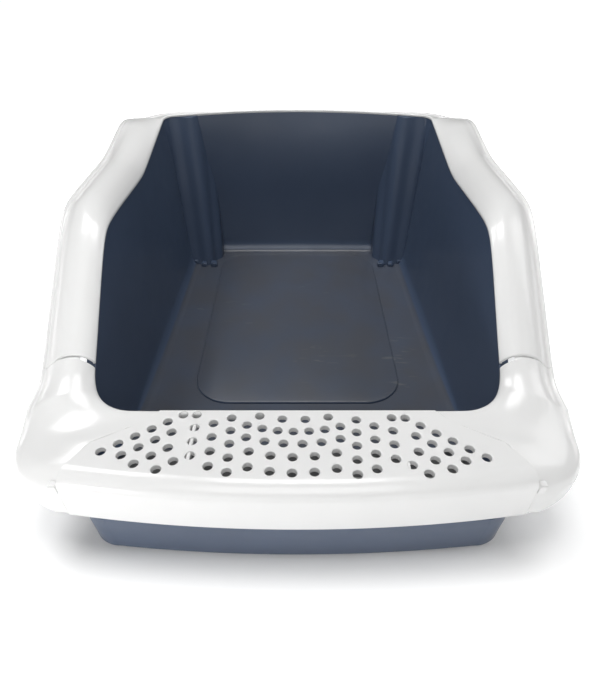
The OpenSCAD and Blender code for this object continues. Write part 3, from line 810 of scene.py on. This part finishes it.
def rim_at(u):
    if u <= U_FRONT:
        x = TROUGH_C[0] * u / U_FRONT
        return np.array([x, TROUGH_C[1] - TROUGH_R - 5.5 + x * x / (2 * BOW_R)])
    if u <= U_CORNER:
        return on_arc(TROUGH_C, TROUGH_R, TROUGH_R, 90 * (u - U_FRONT) / 8 - 90)
    if u <= U_SIDE:
        y = np.interp(u, range(U_CORNER, U_SIDE + 1), [TROUGH_C[1], *SIDE_YS])
        return np.array([TROUGH_C[0] + TROUGH_R, y])
    w = TROUGH_C[0] + TROUGH_R - OPEN_REAR_R
    if u <= U_REAR:
        return on_arc((w, OPEN_REAR_Y - OPEN_REAR_R), OPEN_REAR_R, OPEN_REAR_R,
                      90 * (u - U_SIDE) / 4)
    t = (u - U_REAR) / 6
    return np.array([lerp(w, 0, t), OPEN_REAR_Y + OPEN_REAR_BOW * math.sin(math.pi / 2 * t)])


def box_at(u, half_w, rear_half_w, y_front, y_rear, r_front, r_rear, bow):
    if u <= U_FRONT:
        t = u / U_FRONT
        return np.array([(half_w - r_front) * t, y_front + bow * t * t])
    if u <= U_CORNER:
        return on_arc((half_w - r_front, y_front + bow + r_front), r_front, r_front,
                      90 * (u - U_FRONT) / 8 - 90)
    if u <= U_SIDE:
        t = (u - U_CORNER) / (U_SIDE - U_CORNER)
        return np.array([lerp(half_w, rear_half_w, t),
                         lerp(y_front + bow + r_front, y_rear - r_rear, t)])
    if u <= U_REAR:
        return on_arc((rear_half_w - r_rear, y_rear - r_rear), r_rear, r_rear,
                      90 * (u - U_SIDE) / 4)
    t = (u - U_REAR) / 6
    return np.array([lerp(rear_half_w - r_rear, 0, t), y_rear + 1.5 * math.sin(math.pi / 2 * t)])


def floor_at(u):
    return box_at(u, FLOOR_HALF_W + 13, FLOOR_HALF_W + 4, -199, 216, OPEN_FRONT_R, 20, 3)


def base_at(u):
    return box_at(u, FLOOR_HALF_W + 17, FLOOR_HALF_W + 8, -HALF_LENGTH + 1.6, 220, 24, 30, 7.5)


def outline_steps():
    counts = ((0, U_FRONT, 24), (U_FRONT, U_CORNER, 34), (U_CORNER, U_SIDE, 96),
              (U_SIDE, U_REAR, 16), (U_REAR, U_END, 24))
    us = [u for a, b, n in counts for u in np.linspace(a, b, n, endpoint=False)]
    return np.array(us + [U_END])


US = outline_steps()
RIM_LINE = np.array([rim_at(u) for u in US])
FLOOR_LINE = np.array([floor_at(u) for u in US])
BASE_LINE = np.array([base_at(u) for u in US])


def outward(line):
    t = np.gradient(line, axis=0)
    t = t / np.linalg.norm(t, axis=1, keepdims=True)
    n = np.stack([t[:, 1], -t[:, 0]], axis=1)
    n[0], n[-1] = (0, -1), (0, 1)
    return n


def rim_height(line):
    y = line[:, 1]
    under_hood = inner_z(y) - WALL - RIM_GAP - 1.4 * (1 - ease((y + 150) / 30))
    return lerp(FRONT_RIM_Z, under_hood, ease((y + 215) / 40))


FRONTNESS = (1 - ease((US - 5) / 7))[:, None]
SHOULDER = (1 - ease((US - 12) / 4))[:, None]
RIM_Z = rim_height(RIM_LINE)[:, None]
SIDE_PATH = np.array([(0, 0, 13), (0, 0.012, 6.5), (0, 0.055, 1.2), (0.1, 0.13, 0),
                      (0.55, 0.56, 0), (1, 1, 0)])
STEP_PATH = np.array([(-0.1, 0, 0), (0, 0.03, 0), (0.1, 0.7, 0), (0.2, 0.8, 0),
                      (0.9, 0.88, 0), (1, 1, 0)])
WALL_PATH = np.array([(0, 0.06), (0.22, 0.24), (0.25, 0.27), (0.6, 0.6), (1, 1)])
SHOULDER_PATH = np.array([(0, 0.12), (0, 0.64), (0.95, 0.67), (1, 0.8), (1, 1)])


def whole(flat, z):
    """A half outline and its mirror image as one closed ring."""
    half = np.column_stack([flat, np.broadcast_to(np.ravel(z), len(flat))])
    return np.concatenate([half, (half[1:-1] * [-1, 1, 1])[::-1]])


def cavity_rings(grow, per):
    rings = []
    for side, step in zip(SIDE_PATH, STEP_PATH):
        path = lerp(side, step, FRONTNESS)
        flat = lerp(FLOOR_LINE, RIM_LINE, path[:, :1]) + outward(RIM_LINE) * grow
        flat = flat - outward(FLOOR_LINE) * path[:, 2:]
        rings.append(whole(flat, lerp(FLOOR_Z - grow, RIM_Z, path[:, 1:2])))
    return smooth_line(rings, per)


def rim_ring(side, front, drop):
    reach = lerp(side, front, FRONTNESS)
    fall = 3.6 * ease((RIM_LINE[:, 1:] - 180) / 40) * side / FLANGE_W
    return whole(RIM_LINE + outward(RIM_LINE) * reach, RIM_Z - drop - fall)


def wall_rings():
    rings = []
    for wall, shoulder in zip(WALL_PATH, SHOULDER_PATH):
        path = lerp(wall, shoulder, SHOULDER)
        flat = lerp(BASE_LINE, RIM_LINE + outward(RIM_LINE) * TUB_WALL, path[:, :1])
        rings.append(whole(flat, lerp(FOOT_GAP, RIM_Z - TUB_WALL - 1, path[:, 1:])))
    return smooth_line(rings, 3)


def base_ring(inset, z):
    return whole(BASE_LINE - outward(BASE_LINE) * inset, np.full(len(US), z))


PILLAR_C = (FLOOR_HALF_W - 7, 196.0)
PILLAR_FOOT_R = PILLAR_R - 9
PILLAR_TILT = 3.3
PILLAR_LEAN = 14.0
FLUTES = 3
FLUTE_DEPTH = 4.5


def pillar(name, thin, span, sign):
    """A pillar that leans back into a rear corner, fluted towards the room."""
    turn = Matrix.Rotation(math.radians(PILLAR_TILT), 3, "Y") @ Matrix.Rotation(
        math.radians(-PILLAR_LEAN), 3, "X")
    turn = np.array(turn)
    rings = []
    for t in np.linspace(0, 1, 24):
        r = lerp(PILLAR_FOOT_R, PILLAR_R, t) - thin
        ring = [(-r, 60.0), (-r, 20.0)]
        for a in np.linspace(180, 360, 73):
            swell = FLUTE_DEPTH * (math.cos(math.radians((a - 180) * 2 * FLUTES)) - 1) / 2
            ring.append(tuple(on_arc((0, 0), r + swell, r + swell, a)))
        ring += [(r, 20.0), (r, 60.0)]
        z = lerp(span[0], span[1], t)
        points = np.array([(*p, z) for p in ring]) @ turn.T
        points += (PILLAR_C[0], PILLAR_C[1], 0)
        rings.append(points * (sign, 1, 1))
    return tower(name, rings, SLATE)


def rounded_rectangle(w, y0, y1, r, inset, n=14):
    out = []
    for cx, cy, a0 in ((w / 2 - r, y0 + r, -90), (w / 2 - r, y1 - r, 0),
                       (-w / 2 + r, y1 - r, 90), (-w / 2 + r, y0 + r, 180)):
        out += [on_arc((cx, cy), r - inset, r - inset, a0 + 90 * i / n) for i in range(n + 1)]
    return np.array(out)


FOOT_PLACES = [(sx * x, y) for x, y in ((115, -165), (92, 185)) for sx in (-1, 1)]
FOOT_NODES = ["foot_front_left", "foot_front_right", "foot_rear_left", "foot_rear_right"]


def tub():
    outer = [base_ring(3, FOOT_GAP), base_ring(1.8, FOOT_GAP + 0.15),
             base_ring(0.9, FOOT_GAP + 0.6), base_ring(0.3, FOOT_GAP + 1.2),
             base_ring(0.05, FOOT_GAP + 2), *wall_rings()]
    rim = [rim_ring(FLANGE_W - 0.5, TUB_WALL - 0.3, TUB_WALL),
           rim_ring(FLANGE_W, TUB_WALL, TUB_WALL - 0.6), rim_ring(FLANGE_W, TUB_WALL, 0.7),
           rim_ring(FLANGE_W - 0.7, TUB_WALL - 0.7, 0), rim_ring(0.8, 0.8, 0)]
    cavity = list(cavity_rings(0, 5))[::-1]
    cavity[0] = rim_ring(0.15, 0.15, 0.4)
    shell = tower("tub_shell", outer + rim + cavity, SLATE)
    for sign in (1, -1):
        column = pillar("column", 0, (-10, 201), sign)
        root = tower("root", cavity_rings(1.0, 3), SLATE)
        boolean(column, root, "INTERSECT")
        boolean(shell, column, "UNION")
    for sign in (1, -1):
        boolean(shell, pillar("hollow", TUB_WALL, (-12, 188), sign), "DIFFERENCE")
    pocket = [np.array([(*p, z) for p in ledge_outline()]) for z in (-1, LEDGE_Z - 11)]
    boolean(shell, tower("recess", pocket, SLATE), "DIFFERENCE")
    for x, y in FOOT_PLACES:
        cut = lathe("pocket", [(FOOT_R, -1), (FOOT_R, FOOT_H)], (x, y, 0), SLATE)
        boolean(shell, cut, "DIFFERENCE")
    tidy_normals(shell, 42)
    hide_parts("tub")
    edge = [(0, -0.6), (0, PAD_H - 1.3), (0.2, PAD_H - 0.7), (0.6, PAD_H - 0.25), (1.3, PAD_H)]
    rings = [np.column_stack([rounded_rectangle(PAD_W, PAD_Y, PAD_Y + PAD_L, PAD_R, d),
                              np.full(60, FLOOR_Z + z)]) for d, z in edge]
    pad = tower("floor_pad", rings, SLATE, 60)
    pieces = [shell, pad]
    for name, sign in (("left", -1), ("right", 1)):
        for k, (x, y, w, l, h) in enumerate(FOOT_BLOCKS):
            low = (sign * x - w / 2, y, FLOOR_Z - 1)
            pieces.append(box(f"pillar_block_{name}_{k}", low,
                              (low[0] + w, y + l, FLOOR_Z + h), SLATE, 1.4))
    for p in pieces:
        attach(p, "tub")
    feet()


# Small stiffening blocks in front of each pillar: x, y, width, length, height
FOOT_BLOCKS = [(120, 164, 9, 9, 7), (134, 165, 8, 9, 6), (147, 170, 8, 9, 8)]


def ledge_outline():
    w, front, rear = 130, -262, -211
    return [(-w, rear), (-w, front + 14), (-w + 14, front), (w - 14, front), (w, front + 14),
            (w, rear)]


def feet():
    ridges = [(FOOT_R - 0.8, 0.0), (FOOT_R - 0.75, 0.6), (FOOT_R - 0.1, 0.65),
              (FOOT_R - 0.05, 0.9), (FOOT_R - 0.05, FOOT_H - 0.2), (FOOT_R - 0.4, FOOT_H - 0.02)]
    for (x, y), node in zip(FOOT_PLACES, FOOT_NODES):
        tread = [(1.2, 0.35), (2.0, 0.0), (3.2, 0.0), (3.7, 0.35), (4.6, 0.35), (5.1, 0.0),
                 (FOOT_R - 1.4, 0.0)]
        pad = lathe(node + "_pad", tread + ridges, (x, y, 0), RUBBER)
        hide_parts(node)
        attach(pad, "tub")


# ---------------------------------------------------------------------- studio
def studio():
    scene = bpy.context.scene
    scene.view_settings.view_transform = "Standard"
    world = bpy.data.worlds.new("studio")
    scene.world = world
    world.use_nodes = True
    back = world.node_tree.nodes["Background"]
    back.inputs["Color"].default_value = (1.0, 1.0, 1.0, 1)
    back.inputs["Strength"].default_value = 0.06
    bpy.ops.mesh.primitive_plane_add(size=12)
    ground = bpy.context.object
    ground.name = "studio_floor"
    ground.data.materials.append(sweep_floor())
    lights = (("key", (-0.9, 0.3, 1.6), 0.7, 11.0), ("left", (-0.9, -0.5, 1.6), 0.9, 1.5),
              ("right", (1.4, 0.2, 1.1), 0.9, 5.0), ("front", (0.0, -1.6, 1.4), 1.2, 11.0),
              ("top", (0.0, 0.1, 2.0), 0.9, 16.5), ("low", (-0.36, -0.6, 0.02), 0.06, 0.7))
    for name, place, size, power in lights:
        lamp = bpy.data.lights.new(name, "AREA")
        lamp.shape, lamp.size, lamp.energy = "SQUARE", size, power
        obj = bpy.data.objects.new(name, lamp)
        obj.location = place
        aim = Vector((0, -0.05, 0.1)) - obj.location
        obj.rotation_euler = aim.to_track_quat("-Z", "Y").to_euler()
        scene.collection.objects.link(obj)
    lens = bpy.data.cameras.new("view")
    lens.lens, lens.sensor_width, lens.clip_start = 25.97, 36, 0.01
    camera = bpy.data.objects.new("view", lens)
    camera.location = (0, -0.4725, 0.375)
    camera.rotation_euler = (math.radians(50.5), 0, 0)
    scene.collection.objects.link(camera)
    scene.camera = camera


studio()
tub()
rear_guard()
collar()
pedal()
for side in ("left", "right"):
    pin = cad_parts[f"hinge_pin_{side}"]
    for s in pin.material_slots:
        s.material = STEEL
